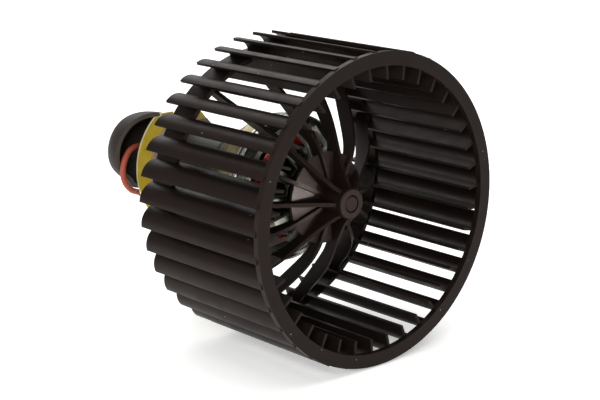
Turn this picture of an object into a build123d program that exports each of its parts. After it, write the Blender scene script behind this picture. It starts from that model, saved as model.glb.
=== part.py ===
from build123d import *
from math import atan2, cos, pi, radians, sin, tan
import os

# Car cabin blower motor with its squirrel-cage wheel. Millimetres.
# X runs along the shaft towards the wheel's mouth, Z is up, and the origin is
# the middle of the mounting plate's back face.

# Wheel
wheel_front = 143.0          # front face of the rim
wheel_r = 75.0               # rim's outer radius
rim_band = 6.6               # rim's width across its face
rim_width = 3.0              # rim's thickness along the shaft
blade_count = 38
blade_length = 86.3          # from the rim's front face to the blades' rear ends
blade_proud = 0.5            # blades stand this far out past the rim
blade_curve_r = 8.9          # outside of the forward-curved part
blade_flat = 5.3             # straight part inside the curve
blade_thickness = 1.4
first_blade_angle = 84.3
ring_step = 6.8              # ring's outside lies this far inside the rim's
ring_wall = 2.2
ring_width = 14.8
rib_count = 14               # tall and low ribs by turns
first_rib_angle = 179.0
rib_thickness = 2.0
rib_depth = 6.5
tall_rib_step = 1.0          # ribs start this far behind the hub's front face
low_rib_step = 12.5
rib_shoulder_r = 16.5        # points that a rib's front edge runs through, as radii
tall_rib_shoulder = 10.5     # and as distances behind the hub's front face
low_rib_shoulder = 14.3
rib_inner_r = 27.0
rib_inner_drop = 17.3
rib_bend_r = 38.0
rib_bend_drop = 24.5
rib_outer_step = 13.0        # last of these points, from the ring's inside
rib_outer_drop = 39.0
rib_end_inset = 1.5
hub_r = 7.5
hub_length = 21.0
hub_front = 123.0
web_outer_r = 22.5
web_front = 108.8            # where the closed cone meets the hub
web_drop = 3.6               # how far the cone falls back to its free edge
web_wall = 1.6
hub_groove = 0.35            # groove that shows round the shaft's end
hub_groove_depth = 0.8
edge_round = 0.5

# Shaft and fits
shaft_r = 4.0
running_gap = 0.03           # shaft in its bearings
shaft_rear = 11.0
shaft_chamfer = 0.5
part_gap = 0.3               # between pieces that only pass each other

# Mounting plate
plate_r = 36.4
plate_thickness = 1.2
plate_top = 27.0             # flat along the top
plate_flat_angle = 42.0
plate_flat = 21.8            # distance of the slanting flat from the axis
ear_width = 7.8
ear_centre = -16.6
ear_height = 1.7
mount_hole_r = 2.25
mount_hole_spacing = 44.0
mount_hole_drop = 24.0
gasket_r = 28.2
gasket_thickness = 2.5
gasket_inset = 0.8
gasket_top_inset = 4.0

# Brush housing, the slim neck between plate and can
neck_r = 20.0
neck_wall = 2.4
neck_flange_r = 24.5
neck_flange = 3.0
neck_front = 46.5
partition_rear = 15.0
partition_front = 19.0
bearing_boss_r = 11.0
screw_r = 1.4
screw_head_r = 2.2
screw_head = 1.6
screw_crown = 0.65
screw_slot = 0.5             # cross recess: width, depth and length
screw_slot_depth = 0.8
screw_slot_length = 2.9
screw_reach = 8.0
screw_boss_r = 2.9
screw_boss_circle = 15.0
can_screw_circle = 22.3
can_screw_count = 3
first_can_screw = 150.0
air_hole_r = 2.8
air_hole_circle = 14.2
air_hole_count = 3
air_hole_step = 26.0
first_air_hole = 178.0
kidney_inner_r = 11.6
kidney_half_angle = 55.0

# Bearings
bearing_r = 7.6
bearing_length = 9.0
bearing_flat_r = 6.0
washer_r = 6.2
washer_thickness = 1.0
end_play = 0.3

# Can, magnets and joint ring
can_r = 36.0
can_front = 78.5
can_wall = 1.8
can_shoulder = 66.0
can_rear_r = 25.4
can_shoulder_round = 10.0
can_rear_round = 2.4
can_rear_lean = 1.0
magnet_wall = 5.4
magnet_rear = 62.2
magnet_front = 76.7
magnet_angle = 130.0
clip_wall = 0.8
clip_leg = 3.2
joint_ring_width = 4.0
joint_ring_wall = 0.8
joint_groove_width = 1.4
joint_groove_depth = 0.5

# Slotted front cap
cap_wall = 2.2
cap_shoulder_x = 83.0
cap_shoulder_r = 32.9
cap_cone_x = 94.0
cap_cone_r = 26.0
cap_face_x = 97.0
cap_face_r = 18.3
cap_slot_count = 12
cap_slot_half_angle = 8.7
first_slot_angle = 105.0
nose_r = 10.0
nose_front = 100.0
nose_wall = 2.0
nose_hole_r = 5.5
retainer_r = 24.0
retainer_rim = 3.5
retainer_wall = 1.0
retainer_window_margin = 0.5
retainer_window_count = 6
retainer_spoke_angle = 14.0

# Armature
stack_r = 25.5
stack_rear = 63.0
stack_length = 17.0
air_gap = 0.7
slot_count = 12
slot_opening = 2.4
slot_floor_r = 12.0
slot_lining = 0.3
tooth_tip = 2.2
tooth_width = 4.6
insulator_wall = 1.0
sleeve_wall = 2.4
rear_sleeve = 11.0
overhang_outer_r = 23.4
overhang_inner_r = 8.4
front_overhang = 5.8
rear_overhang = 7.6
overhang_taper = 2.0
overhang_round = 2.0

# Commutator and brushes
commutator_r = 9.0
commutator_rear = 26.5
commutator_length = 14.0
core_lip = 0.8
bar_depth = 2.2
bar_gap = 0.6
bar_count = 12
riser_height = 1.2
riser_length = 2.0
brush_gap = 0.1
brush_width = 6.6            # along the shaft
brush_breadth = 4.6
brush_height = 5.5
brush_clearance = 0.15
brush_tube_wall = 0.5
brush_tube_inner_r = 9.9
tube_recess = 0.4            # tube's closed end lies this far inside the neck
spring_wire = 0.5
spring_clearance = 0.02
spring_turns = 4

# Hood
hood_wall = 2.2
hood_depth = 26.0
hood_right = -6.0
hood_top = 29.3
hood_bottom = -9.0
hood_left = -48.4
hood_corner = 4.0
hood_inner_corner = 2.7
hood_mid_z = 12.0            # height that the hood narrows towards
hood_slant = 3.7             # top falls this much from its crown to the right wall
hood_crown_inset = 23.0      # points of the rounded side: in from the left, and up or down
hood_brow_inset = 11.5
hood_brow_drop = 2.2
hood_temple_inset = 3.6
hood_temple_drop = 8.8
hood_cheek_inset = 2.1
hood_cheek_drop = 11.0
hood_chin_inset = 8.2
hood_chin_rise = 3.8
hood_base_inset = 17.0
hood_steps = ((0.0, 1.0), (0.25, 0.99), (0.5, 0.91), (0.75, 0.77), (0.92, 0.62), (1.0, 0.5))
hood_ear_r = 3.6
hood_ear_upper_y = -1.0
hood_ear_upper_z = 21.5
hood_ear_lower_y = -18.0
hood_ear_lower_z = -13.0

# Lead and terminals
lead_r = 1.5
terminal_wall = 0.8
terminal_ring_r = 4.2
terminal_y = -27.5
terminal_z = -14.5
rivet_r = 1.6
rivet_head_r = 2.6
rivet_head = 0.9
blade_tab_width = 6.3
blade_tab_wall = 0.8
blade_tab_length = 12.0
block_near = 6.8
block_length = 10.0
block_half_height = 4.8
block_proud = 2.5
tab_root = 12.0

# Values that follow from the ones above
blade_rear = wheel_front - blade_length
rim_inner_r = wheel_r - rim_band
ring_outer_r = wheel_r - ring_step
ring_inner_r = ring_outer_r - ring_wall
neck_inner_r = neck_r - neck_wall
commutator_mid = commutator_rear + commutator_length / 2
stack_front = stack_rear + stack_length
magnet_inner_r = stack_r + air_gap
magnet_outer_r = magnet_inner_r + magnet_wall
can_inner_r = can_r - can_wall
front_bearing_front = nose_front - nose_wall
front_bearing_rear = front_bearing_front - bearing_length
rear_bearing_rear = partition_front - bearing_length
bearing_bore = shaft_r + running_gap
washer_hole = washer_r + washer_thickness / 2
bar_inner_r = commutator_r - bar_depth
tube_outer_r = neck_r - tube_recess


def radial_plane(angle):
    """Plane that holds the shaft's axis, local x along the shaft and y outwards."""
    turn = radians(angle)
    return Plane(origin=(0, 0, 0), x_dir=(1, 0, 0), z_dir=(0, -sin(turn), cos(turn)))


def across(x):
    """Plane across the shaft at x, local x along Y and local y along Z."""
    return Plane.YZ.offset(x)


def sector(inner_r, outer_r, middle, half_angle):
    """Flat ring sector between two radii."""
    with BuildSketch() as shape:
        with BuildLine():
            inner = CenterArc((0, 0), inner_r, middle - half_angle, 2 * half_angle)
            outer = CenterArc((0, 0), outer_r, middle - half_angle, 2 * half_angle)
            Line(inner @ 0, outer @ 0)
            Line(inner @ 1, outer @ 1)
        make_face()
    return shape.sketch


def turned(*points):
    """Solid from a closed outline of (x, radius) points turned round the shaft's axis."""
    with BuildPart() as body:
        with BuildSketch(Plane.XY):
            with BuildLine():
                Polyline(*points, close=True)
            make_face()
        revolve(axis=Axis.X)
    return body.part


def tube(rear, front, inner_r, outer_r):
    """Plain turned ring."""
    return turned((rear, inner_r), (rear, outer_r), (front, outer_r), (front, inner_r))


def rod(rear, front, radius, y=0.0, z=0.0):
    """Round bar along the shaft's direction, its middle at y, z."""
    with BuildPart() as bar:
        with BuildSketch(across(rear)):
            with Locations((y, z)):
                Circle(radius)
        extrude(amount=front - rear)
    return bar.part


def screw(head_rear, seat, tip, y, z):
    """Pan-head screw driven towards +X, its head between head_rear and seat."""
    with BuildPart() as body:
        add(rod(head_rear, seat, screw_head_r, y, z))
        crown = body.faces().filter_by(Axis.X).sort_by(Axis.X)[0]
        fillet(crown.edges(), screw_crown)
        add(rod(seat, tip, screw_r, y, z))
        with BuildSketch(across(head_rear)):
            with Locations((y, z)):
                Rectangle(screw_slot_length, screw_slot)
                Rectangle(screw_slot, screw_slot_length)
        extrude(amount=screw_slot_depth, mode=Mode.SUBTRACT)
    return body.part


def beyond(distance, angle):
    """Wide rectangle whose near side is a flat, at that distance and angle from the axis."""
    turn = radians(angle)
    middle = distance + plate_r
    with BuildSketch() as shape:
        with Locations(Location((middle * cos(turn), middle * sin(turn), 0), (0, 0, angle))):
            Rectangle(2 * plate_r, 4 * plate_r)
    return shape.sketch


def finish(block, name):
    """Labels a finished piece and writes it."""
    block.part.label = name
    export_step(block.part, f"parts/{name}.step")


os.makedirs("parts", exist_ok=True)

# Wheel, one moulding: a cage of forward-curved blades between rim and ring
blade_centre_r = wheel_r + blade_proud - blade_curve_r
blade_inner_r = blade_centre_r - blade_flat
blade_hollow_r = blade_curve_r - blade_thickness
rib_root_r = (hub_r + shaft_r) / 2
rib_outer_r = ring_inner_r - rib_outer_step
rib_end_r = ring_inner_r + ring_wall / 3
rib_slant = rib_depth * sin(radians(45))
ring_front = blade_rear + ring_width

with BuildSketch() as blade_section:
    with BuildLine():
        convex = CenterArc((blade_centre_r, 0), blade_curve_r, 0, -90)
        hollow = CenterArc((blade_centre_r, 0), blade_hollow_r, 0, -90)
        Line(convex @ 0, hollow @ 0)
        Polyline(
            convex @ 1, (blade_inner_r, -blade_curve_r), (blade_inner_r, -blade_hollow_r), hollow @ 1
        )
    make_face()


def rib_profile(step, shoulder):
    """Rib seen from its side, its front edge starting step behind the hub's front face."""
    with BuildSketch() as shape:
        with BuildLine():
            rib_front = Spline(
                (hub_front - step, rib_root_r),
                (hub_front - shoulder, rib_shoulder_r),
                (hub_front - rib_inner_drop, rib_inner_r),
                (hub_front - rib_bend_drop, rib_bend_r),
                (hub_front - rib_outer_drop, rib_outer_r),
                (ring_front - rib_end_inset, rib_end_r),
            )
            rib_back = Spline(
                (ring_front - rib_end_inset - rib_depth, rib_end_r),
                (hub_front - rib_outer_drop - rib_slant, rib_outer_r - rib_slant),
                (hub_front - rib_bend_drop - rib_slant, rib_bend_r - rib_slant),
                (hub_front - rib_inner_drop - rib_depth, rib_inner_r),
                (web_front - web_drop - web_wall, web_outer_r - rib_depth),
            )
            Line(rib_front @ 1, rib_back @ 0)
            Polyline(rib_back @ 1, (web_front - web_wall / 2, rib_root_r), rib_front @ 0)
        make_face()
    return shape.sketch


tall_rib = rib_profile(tall_rib_step, tall_rib_shoulder)
low_rib = rib_profile(low_rib_step, low_rib_shoulder)
with BuildPart() as fan_wheel:
    add(turned(
        (hub_front - hub_length, 0), (hub_front - hub_length, hub_r),
        (hub_front - edge_round, hub_r), (hub_front, hub_r - edge_round), (hub_front, 0),
    ))
    add(turned(
        (web_front, rib_root_r), (web_front - web_drop, web_outer_r),
        (web_front - web_drop - web_wall, web_outer_r), (web_front - web_wall, rib_root_r),
    ))
    for number in range(rib_count):
        with BuildSketch(radial_plane(first_rib_angle + number * 360 / rib_count)):
            add((tall_rib, low_rib)[number % 2])
        extrude(amount=rib_thickness / 2, both=True)
    add(rod(hub_front - hub_length, hub_front, shaft_r), mode=Mode.SUBTRACT)
    add(rod(hub_front - hub_groove_depth, hub_front, shaft_r + hub_groove), mode=Mode.SUBTRACT)
    add(tube(blade_rear, ring_front, ring_inner_r, ring_outer_r))
    add(tube(wheel_front - rim_width, wheel_front, rim_inner_r, wheel_r))
    with BuildSketch(across(blade_rear)):
        with PolarLocations(0, blade_count, start_angle=first_blade_angle):
            add(blade_section.sketch)
    extrude(amount=blade_length - rim_width / 2)
finish(fan_wheel, "fan_wheel")

# Shaft
with BuildPart() as rotor_shaft:
    add(turned(
        (shaft_rear, 0), (shaft_rear, shaft_r - shaft_chamfer), (shaft_rear + shaft_chamfer, shaft_r),
        (hub_front - shaft_chamfer, shaft_r), (hub_front, shaft_r - shaft_chamfer), (hub_front, 0),
    ))
finish(rotor_shaft, "rotor_shaft")

# Armature: slotted lamination stack, winding and end insulators
slot_floor_half = (radians(360 / slot_count) * slot_floor_r - tooth_width) / 2
slot_top_r = stack_r - tooth_tip
slot_top_half = (radians(360 / slot_count) * slot_top_r - tooth_width) / 2


def slot_shape(inset):
    """Closed part of one armature slot, drawn at angle 0 and smaller by inset."""
    with BuildSketch() as shape:
        with BuildLine():
            Polyline(
                (slot_floor_r + inset, -slot_floor_half + inset / 2),
                (slot_top_r - inset, -slot_top_half + inset),
                (slot_top_r - inset, slot_top_half - inset),
                (slot_floor_r + inset, slot_floor_half - inset / 2),
                close=True,
            )
        make_face()
    return shape.sketch


def lamination(outer_r):
    """Flat shape of one lamination with its open slots."""
    with BuildSketch() as shape:
        Circle(outer_r)
        Circle(shaft_r, mode=Mode.SUBTRACT)
        with PolarLocations(0, slot_count):
            add(slot_shape(0), mode=Mode.SUBTRACT)
        with PolarLocations(stack_r, slot_count):
            Rectangle(2 * tooth_tip + part_gap, slot_opening, mode=Mode.SUBTRACT)
    return shape.sketch


with BuildPart() as armature_core:
    with BuildSketch(across(stack_rear)):
        add(lamination(stack_r))
    extrude(amount=stack_length)
finish(armature_core, "armature_core")

with BuildPart() as insulator_front:
    with BuildSketch(across(stack_front)):
        add(lamination(stack_r - insulator_wall))
    extrude(amount=insulator_wall)
    front_washer_rear = front_bearing_rear - end_play - washer_thickness
    add(tube(stack_front, front_washer_rear, shaft_r, shaft_r + sleeve_wall))
finish(insulator_front, "insulator_front")

with BuildPart() as insulator_rear:
    with BuildSketch(across(stack_rear - insulator_wall)):
        add(lamination(stack_r - insulator_wall))
    extrude(amount=insulator_wall)
    add(tube(stack_rear - rear_sleeve, stack_rear, shaft_r, shaft_r + sleeve_wall))
finish(insulator_rear, "insulator_rear")

winding_rear = stack_rear - insulator_wall
winding_front = stack_front + insulator_wall
with BuildPart() as armature_winding:
    with BuildSketch(across(winding_rear)):
        with PolarLocations(0, slot_count):
            add(slot_shape(slot_lining))
    extrude(amount=winding_front - winding_rear)
    with BuildSketch(Plane.XY):
        with BuildLine():
            FilletPolyline(
                (winding_front, overhang_inner_r), (winding_front, overhang_outer_r),
                (winding_front + front_overhang, overhang_outer_r - overhang_taper),
                (winding_front + front_overhang, overhang_inner_r),
                radius=overhang_round, close=True,
            )
        make_face()
        with BuildLine():
            FilletPolyline(
                (winding_rear, overhang_inner_r), (winding_rear, overhang_outer_r),
                (winding_rear - rear_overhang, overhang_outer_r - overhang_taper),
                (winding_rear - rear_overhang, overhang_inner_r),
                radius=overhang_round, close=True,
            )
        make_face()
    revolve(axis=Axis.X)
finish(armature_winding, "armature_winding")

# Commutator
with BuildPart() as commutator_core:
    rear_washer_front = partition_front + end_play + washer_thickness
    add(tube(rear_washer_front, commutator_rear + commutator_length + core_lip, shaft_r, bar_inner_r))
finish(commutator_core, "commutator_core")

bar_half_angle = 180 / bar_count - bar_gap / 2 / radians(commutator_r)
with BuildPart() as commutator_bars:
    with BuildSketch(across(commutator_rear)):
        with PolarLocations(0, bar_count):
            add(sector(bar_inner_r, commutator_r, 0, bar_half_angle))
    extrude(amount=commutator_length)
    with BuildSketch(across(commutator_rear + commutator_length - riser_length)):
        with PolarLocations(0, bar_count):
            add(sector(bar_inner_r, commutator_r + riser_height, 0, bar_half_angle))
    extrude(amount=riser_length)
finish(commutator_bars, "commutator_bars")

# Thrust washers at both ends of the armature
for name, rear in (
    ("thrust_washer_front", front_washer_rear),
    ("thrust_washer_rear", rear_washer_front - washer_thickness),
):
    with BuildPart() as washer:
        add(tube(rear, rear + washer_thickness, shaft_r, washer_r))
    finish(washer, name)

# Self-aligning sintered bearings
for name, rear in (("front_bearing", front_bearing_rear), ("rear_bearing", rear_bearing_rear)):
    middle = rear + bearing_length / 2
    with BuildPart() as bearing:
        with BuildSketch(Plane.XY):
            with BuildLine():
                crown = ThreePointArc(
                    (rear, bearing_flat_r), (middle, bearing_r), (rear + bearing_length, bearing_flat_r)
                )
                Polyline(
                    crown @ 1, (rear + bearing_length, bearing_bore), (rear, bearing_bore), crown @ 0
                )
            make_face()
        revolve(axis=Axis.X)
    finish(bearing, name)

# Drawn can with a tapered rear
shoulder_turn = atan2(can_r - can_rear_r, can_shoulder - neck_front)
inner_shift = can_wall * tan(shoulder_turn / 2)
inner_round = can_shoulder_round - can_wall
flux_ring_rear = can_shoulder + inner_shift + inner_round * tan(shoulder_turn / 2) + part_gap
with BuildPart() as motor_can:
    with BuildSketch(Plane.XY):
        with BuildLine():
            outside = FilletPolyline(
                (can_front, can_r), (can_shoulder, can_r), (neck_front, can_rear_r),
                (neck_front, neck_inner_r), radius=(can_shoulder_round, can_rear_round),
            )
            inside = FilletPolyline(
                (can_front, can_inner_r), (can_shoulder + inner_shift, can_inner_r),
                (neck_front + can_wall, can_rear_r - can_wall * can_rear_lean),
                (neck_front + can_wall, neck_inner_r),
                radius=(inner_round, can_rear_round / 2),
            )
            Line(outside @ 0, inside @ 0)
            Line(outside @ 1, inside @ 1)
        make_face()
    revolve(axis=Axis.X)
    with BuildSketch(across(neck_front)):
        with PolarLocations(can_screw_circle, can_screw_count, start_angle=first_can_screw):
            Circle(screw_r)
    extrude(amount=2 * can_wall, mode=Mode.SUBTRACT)
finish(motor_can, "motor_can")

# Flux ring, magnets and the two springs that spread them
with BuildPart() as flux_ring:
    add(tube(flux_ring_rear, magnet_front, magnet_outer_r, can_inner_r))
finish(flux_ring, "flux_ring")

for name, middle in (("magnet_left", 180), ("magnet_right", 0)):
    with BuildPart() as magnet:
        with BuildSketch(across(magnet_rear)):
            add(sector(magnet_inner_r, magnet_outer_r, middle, magnet_angle / 2))
        extrude(amount=magnet_front - magnet_rear)
    finish(magnet, name)

clip_half_angle = 90 - magnet_angle / 2
leg_half_angle = clip_wall / 2 / radians(magnet_outer_r)
for name, middle in (("magnet_clip_upper", 90), ("magnet_clip_lower", 270)):
    with BuildPart() as clip:
        with BuildSketch(across(flux_ring_rear)):
            add(sector(magnet_outer_r - clip_wall, magnet_outer_r, middle, clip_half_angle))
            for side in (-1, 1):
                leg_middle = middle + side * (clip_half_angle - leg_half_angle)
                add(sector(magnet_outer_r - clip_leg, magnet_outer_r, leg_middle, leg_half_angle))
        extrude(amount=magnet_front - flux_ring_rear)
    finish(clip, name)

# Grooved ring that joins can and cap
ring_rear = can_front - joint_ring_width
ring_land = (joint_ring_width - joint_groove_width) / 2
ring_top_r = can_r + joint_ring_wall
with BuildPart() as joint_ring:
    add(turned(
        (ring_rear, can_r), (ring_rear, ring_top_r), (ring_rear + ring_land, ring_top_r),
        (ring_rear + ring_land, ring_top_r - joint_groove_depth),
        (can_front - ring_land, ring_top_r - joint_groove_depth),
        (can_front - ring_land, ring_top_r), (can_front, ring_top_r), (can_front, can_r),
    ))
finish(joint_ring, "joint_ring")

# Front cap: a faceted cone with long slots and the nose that holds the bearing
with BuildPart() as front_cap:
    add(turned(
        (can_front, can_inner_r), (can_front, can_r), (can_front + cap_wall / 2, can_r - cap_wall / 4),
        (cap_shoulder_x, cap_shoulder_r), (cap_cone_x, cap_cone_r), (cap_face_x, cap_face_r),
        (cap_face_x, nose_r), (nose_front - edge_round, nose_r), (nose_front, nose_r - edge_round),
        (nose_front, nose_hole_r), (front_bearing_front, nose_hole_r),
        (front_bearing_front, bearing_r), (front_bearing_rear, bearing_r), (front_bearing_rear, nose_r),
        (cap_face_x - cap_wall, nose_r), (cap_face_x - cap_wall, cap_face_r - cap_wall / 2),
        (cap_cone_x - cap_wall / 2, cap_cone_r - cap_wall),
        (cap_shoulder_x - cap_wall / 2, cap_shoulder_r - cap_wall),
        (can_front, cap_shoulder_r - part_gap), (magnet_front, cap_shoulder_r - part_gap),
        (magnet_front, can_inner_r),
    ))
    with BuildSketch(across(cap_shoulder_x)):
        for number in range(cap_slot_count):
            middle = first_slot_angle + number * 360 / cap_slot_count
            add(sector(cap_face_r, can_r, middle, cap_slot_half_angle))
    extrude(amount=nose_front - cap_shoulder_x, mode=Mode.SUBTRACT)
finish(front_cap, "front_cap")

# Pressed retainer behind the front bearing; its bright rim shows through the slots
retainer_rear = front_bearing_rear - retainer_wall
window_outer_r = retainer_r - retainer_wall - retainer_window_margin
window_inner_r = nose_r + retainer_wall + retainer_window_margin
with BuildPart() as front_bearing_retainer:
    add(tube(retainer_rear, front_bearing_rear, washer_hole, retainer_r))
    add(tube(retainer_rear, retainer_rear + retainer_rim, retainer_r - retainer_wall, retainer_r))
    add(tube(retainer_rear, retainer_rear + retainer_rim, nose_r, nose_r + retainer_wall))
    with BuildSketch(across(retainer_rear)):
        for number in range(retainer_window_count):
            middle = number * 360 / retainer_window_count
            half_angle = (360 / retainer_window_count - retainer_spoke_angle) / 2
            add(sector(window_inner_r, window_outer_r, middle, half_angle))
    extrude(amount=retainer_wall, mode=Mode.SUBTRACT)
finish(front_bearing_retainer, "front_bearing_retainer")

with BuildPart() as rear_bearing_retainer:
    add(tube(partition_front, partition_front + retainer_wall, washer_hole, bearing_boss_r))
finish(rear_bearing_retainer, "rear_bearing_retainer")

# Brush tubes, brushes and springs, above and below the commutator
tube_length = brush_width + 2 * (brush_clearance + brush_tube_wall)
tube_breadth = brush_breadth + 2 * (brush_clearance + brush_tube_wall)
brush_inner_r = commutator_r + brush_gap
brush_top_r = brush_inner_r + brush_height
spring_seat_r = tube_outer_r - brush_tube_wall
for side, word in ((1, "upper"), (-1, "lower")):
    with BuildPart() as brush_tube:
        with BuildSketch(Plane.XY.offset(side * brush_tube_inner_r)):
            with Locations((commutator_mid, 0)):
                Rectangle(tube_length, tube_breadth)
        extrude(amount=side * (tube_outer_r - brush_tube_inner_r))
        with BuildSketch(Plane.XY.offset(side * brush_tube_inner_r)):
            with Locations((commutator_mid, 0)):
                Rectangle(brush_width + 2 * brush_clearance, brush_breadth + 2 * brush_clearance)
        extrude(amount=side * (spring_seat_r - brush_tube_inner_r), mode=Mode.SUBTRACT)
    finish(brush_tube, f"brush_tube_{word}")

    with BuildPart() as brush:
        with BuildSketch(Plane.XY.offset(side * commutator_r / 2)):
            with Locations((commutator_mid, 0)):
                Rectangle(brush_width, brush_breadth)
        extrude(amount=side * (brush_top_r - commutator_r / 2))
        add(
            rod(commutator_mid - brush_width, commutator_mid + brush_width, brush_inner_r),
            mode=Mode.SUBTRACT,
        )
    finish(brush, f"brush_{word}")

    coil_height = spring_seat_r - brush_top_r - spring_wire
    coil_start = side * (brush_top_r + spring_seat_r) / 2 - coil_height / 2
    coil_r = brush_breadth / 2 - spring_wire / 2
    with BuildPart() as brush_spring:
        with BuildLine(Plane((commutator_mid, 0, coil_start))):
            coil = Helix(coil_height / spring_turns, coil_height, coil_r)
        with BuildSketch(Plane(origin=coil @ 0, z_dir=coil % 0)):
            Circle(spring_wire / 2 - spring_clearance)
        sweep(path=coil)
    finish(brush_spring, f"brush_spring_{word}")

# Brush housing: neck, flange on the can, partition with the rear bearing's boss
with BuildPart() as brush_housing:
    add(turned(
        (plate_thickness, neck_inner_r), (plate_thickness, neck_r), (neck_front - neck_flange, neck_r),
        (neck_front - neck_flange, neck_flange_r), (neck_front, neck_flange_r),
        (neck_front, neck_inner_r),
    ))
    add(rod(partition_rear, partition_front, neck_inner_r + neck_wall / 2))
    add(rod(rear_bearing_rear - neck_wall, partition_front, bearing_boss_r))
    for side in (-1, 1):
        add(rod(plate_thickness, partition_rear, screw_boss_r, 0, side * screw_boss_circle))
    with BuildSketch(across(-block_proud)):
        with Locations((block_near + block_length / 2, 0)):
            Rectangle(block_length, 2 * block_half_height)
    extrude(amount=partition_rear + block_proud)
    add(rod(rear_bearing_rear, partition_front, bearing_r), mode=Mode.SUBTRACT)
    with BuildSketch(across(partition_rear)):
        with PolarLocations(
            air_hole_circle, air_hole_count, start_angle=first_air_hole,
            angular_range=air_hole_step * air_hole_count,
        ):
            Circle(air_hole_r)
    extrude(amount=partition_front - partition_rear, mode=Mode.SUBTRACT)
    with BuildSketch(across(neck_front - neck_flange)):
        with PolarLocations(can_screw_circle, can_screw_count, start_angle=first_can_screw):
            Circle(screw_r)
    extrude(amount=neck_flange, mode=Mode.SUBTRACT)
    with BuildSketch(Plane.XY):
        with Locations((commutator_mid, 0)):
            Rectangle(tube_length, tube_breadth)
    extrude(amount=neck_r, both=True, mode=Mode.SUBTRACT)
    for side in (-1, 1):
        add(
            rod(plate_thickness, plate_thickness + screw_reach, screw_r, 0, side * screw_boss_circle),
            mode=Mode.SUBTRACT,
        )
    for tab_y in (block_near + block_length / 4, block_near + 3 * block_length / 4):
        with BuildSketch(across(-block_proud)):
            with Locations((tab_y, 0)):
                Rectangle(blade_tab_wall, blade_tab_width)
        extrude(amount=block_proud + tab_root, mode=Mode.SUBTRACT)
finish(brush_housing, "brush_housing")

# Supply tabs in the terminal block
with BuildPart() as terminal_blades:
    with BuildSketch(across(-block_proud - blade_tab_length)):
        for tab_y in (block_near + block_length / 4, block_near + 3 * block_length / 4):
            with Locations((tab_y, 0)):
                Rectangle(blade_tab_wall, blade_tab_width)
    extrude(amount=block_proud + blade_tab_length + tab_root)
    ends = terminal_blades.faces().sort_by(Axis.X)[:2]
    chamfer(ends.edges().filter_by(Axis.Y), blade_tab_wall)
finish(terminal_blades, "terminal_blades")

# Screws from the neck's flange into the can
with BuildPart() as can_screws:
    for number in range(can_screw_count):
        turn = radians(first_can_screw + number * 360 / can_screw_count)
        flange_rear = neck_front - neck_flange
        add(screw(
            flange_rear - screw_head, flange_rear, neck_front + 2 * can_wall,
            can_screw_circle * cos(turn), can_screw_circle * sin(turn),
        ))
finish(can_screws, "can_screws")

# Mounting plate: a disc with a flat top, a slanting flat and one locating ear
hood_screw_spots = ((hood_ear_upper_y, hood_ear_upper_z), (hood_ear_lower_y, hood_ear_lower_z))
with BuildPart() as mounting_plate:
    with BuildSketch(across(0)):
        Circle(plate_r)
        add(beyond(plate_top, 90), mode=Mode.SUBTRACT)
        add(beyond(plate_flat, plate_flat_angle), mode=Mode.SUBTRACT)
        with Locations((ear_centre, plate_top)):
            Rectangle(ear_width, 2 * ear_height)
        with Locations((0, -mount_hole_drop)):
            with GridLocations(mount_hole_spacing, 0, 2, 1):
                Circle(mount_hole_r, mode=Mode.SUBTRACT)
        add(sector(kidney_inner_r, neck_inner_r, 180, kidney_half_angle), mode=Mode.SUBTRACT)
        with Locations((block_near + block_length / 2, 0)):
            Rectangle(
                block_length + 2 * part_gap, 2 * (block_half_height + part_gap), mode=Mode.SUBTRACT
            )
        with Locations((0, screw_boss_circle), (0, -screw_boss_circle), *hood_screw_spots):
            Circle(screw_r, mode=Mode.SUBTRACT)
        with Locations((terminal_y, terminal_z)):
            Circle(rivet_r, mode=Mode.SUBTRACT)
    extrude(amount=plate_thickness)
finish(mounting_plate, "mounting_plate")

with BuildPart() as plate_screws:
    for side in (-1, 1):
        add(screw(-screw_head, 0, plate_thickness + screw_reach, 0, side * screw_boss_circle))
finish(plate_screws, "plate_screws")

# Gasket between the plate and the wall that it closes
with BuildPart() as plate_gasket:
    with BuildSketch(across(plate_thickness)):
        Circle(gasket_r)
        add(beyond(plate_top - gasket_top_inset, 90), mode=Mode.SUBTRACT)
        add(beyond(plate_flat - gasket_inset, plate_flat_angle), mode=Mode.SUBTRACT)
        Circle(neck_r, mode=Mode.SUBTRACT)
    extrude(amount=gasket_thickness)
finish(plate_gasket, "plate_gasket")

# Hood: a moulded scoop that turns the cooling air through the plate's window
hood_side = (
    (hood_right, hood_top - hood_slant),
    (hood_left + hood_crown_inset, hood_top),
    (hood_left + hood_brow_inset, hood_top - hood_brow_drop),
    (hood_left + hood_temple_inset, hood_top - hood_temple_drop),
    (hood_left, hood_mid_z),
    (hood_left + hood_cheek_inset, hood_mid_z - hood_cheek_drop),
    (hood_left + hood_chin_inset, hood_bottom + hood_chin_rise),
    (hood_left + hood_base_inset, hood_bottom),
)


def hood_section(scale, inset, corner):
    """Hood's outline shrunk towards its right wall, then inset by a wall."""
    points = [
        (hood_right + (y - hood_right) * scale, hood_mid_z + (z - hood_mid_z) * scale)
        for y, z in (*hood_side, (hood_right, hood_bottom))
    ]
    with BuildSketch() as shape:
        with BuildLine():
            Spline(*points[:-1], tangents=((-1, hood_slant / hood_crown_inset), (1, 0)))
            Polyline(points[-2], points[-1], points[0])
        make_face()
        if inset:
            offset(amount=-inset, kind=Kind.INTERSECTION)
        fillet(shape.vertices().group_by(Axis.X)[-1], corner * scale)
    return shape.sketch


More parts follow.
